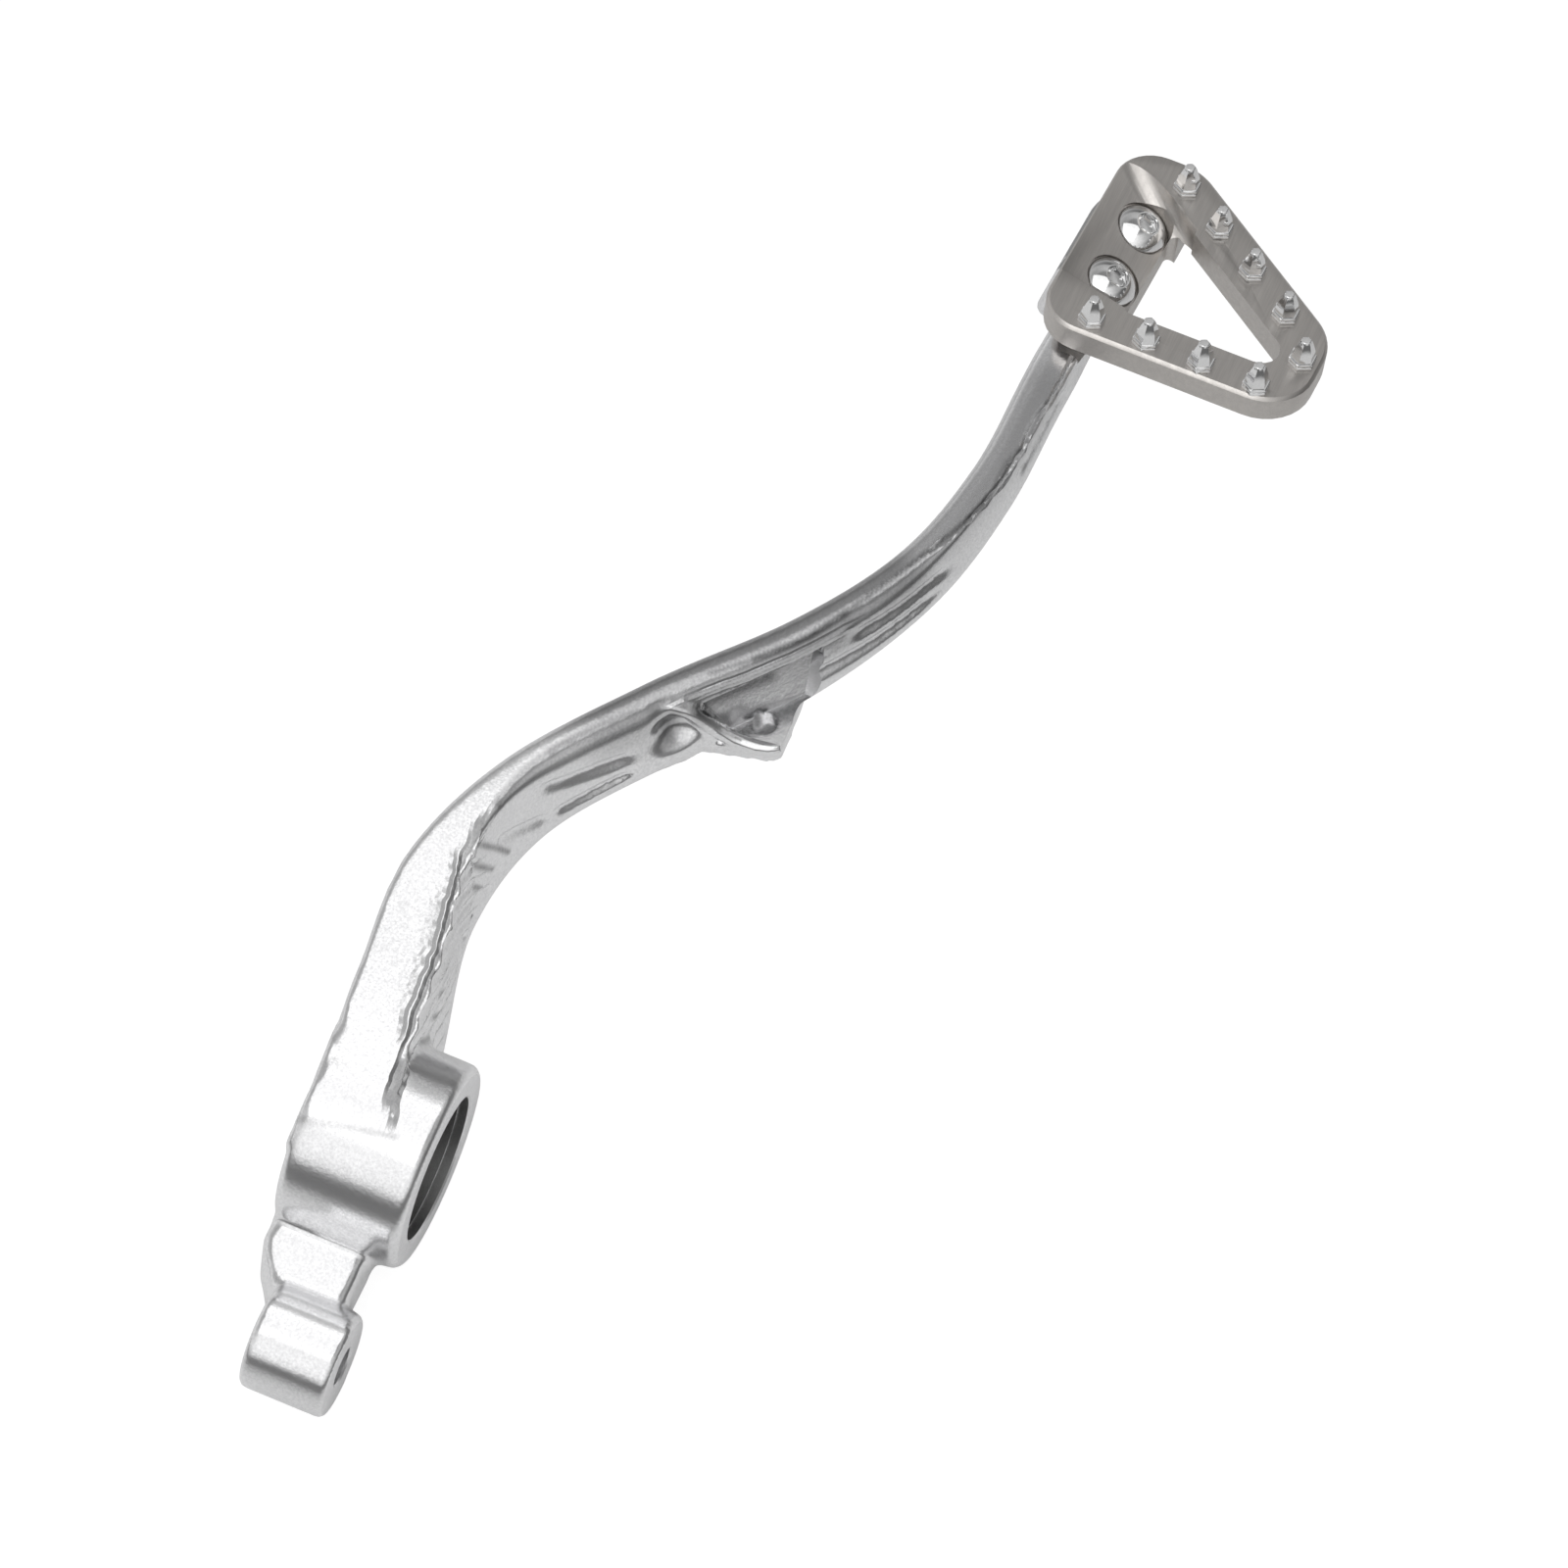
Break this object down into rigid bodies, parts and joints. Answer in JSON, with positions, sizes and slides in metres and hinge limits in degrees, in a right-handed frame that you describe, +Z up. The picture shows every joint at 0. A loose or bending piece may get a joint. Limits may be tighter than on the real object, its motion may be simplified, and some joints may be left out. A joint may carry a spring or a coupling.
{
  "type": "rear brake pedal",
  "caption": "Forged motorcycle rear brake pedal with a pivot hub, a push-rod boss and a bolted step plate with grip spikes.",
  "frame": {"origin": "middle of the pivot bore", "axes": "+X forward to the step, +Y inboard along the pivot bore, +Z up"},
  "size_m": [0.3159, 0.1299, 0.0946],
  "materials": {
    "forged_alloy": "bright forged skin with fine pits",
    "milled_steel": "satin, milled",
    "polished_steel": "polished"
  },
  "bodies": {
    "root": {"brake_arm": "forged_alloy", "step_plate": "milled_steel", "flange_screw_front": "polished_steel", "flange_screw_rear": "polished_steel", "grip_spike_1": "polished_steel", "grip_spike_2": "polished_steel", "grip_spike_3": "polished_steel", "grip_spike_4": "polished_steel", "grip_spike_5": "polished_steel", "grip_spike_6": "polished_steel", "grip_spike_7": "polished_steel", "grip_spike_8": "polished_steel", "grip_spike_9": "polished_steel"}
  },
  "joints": []
}
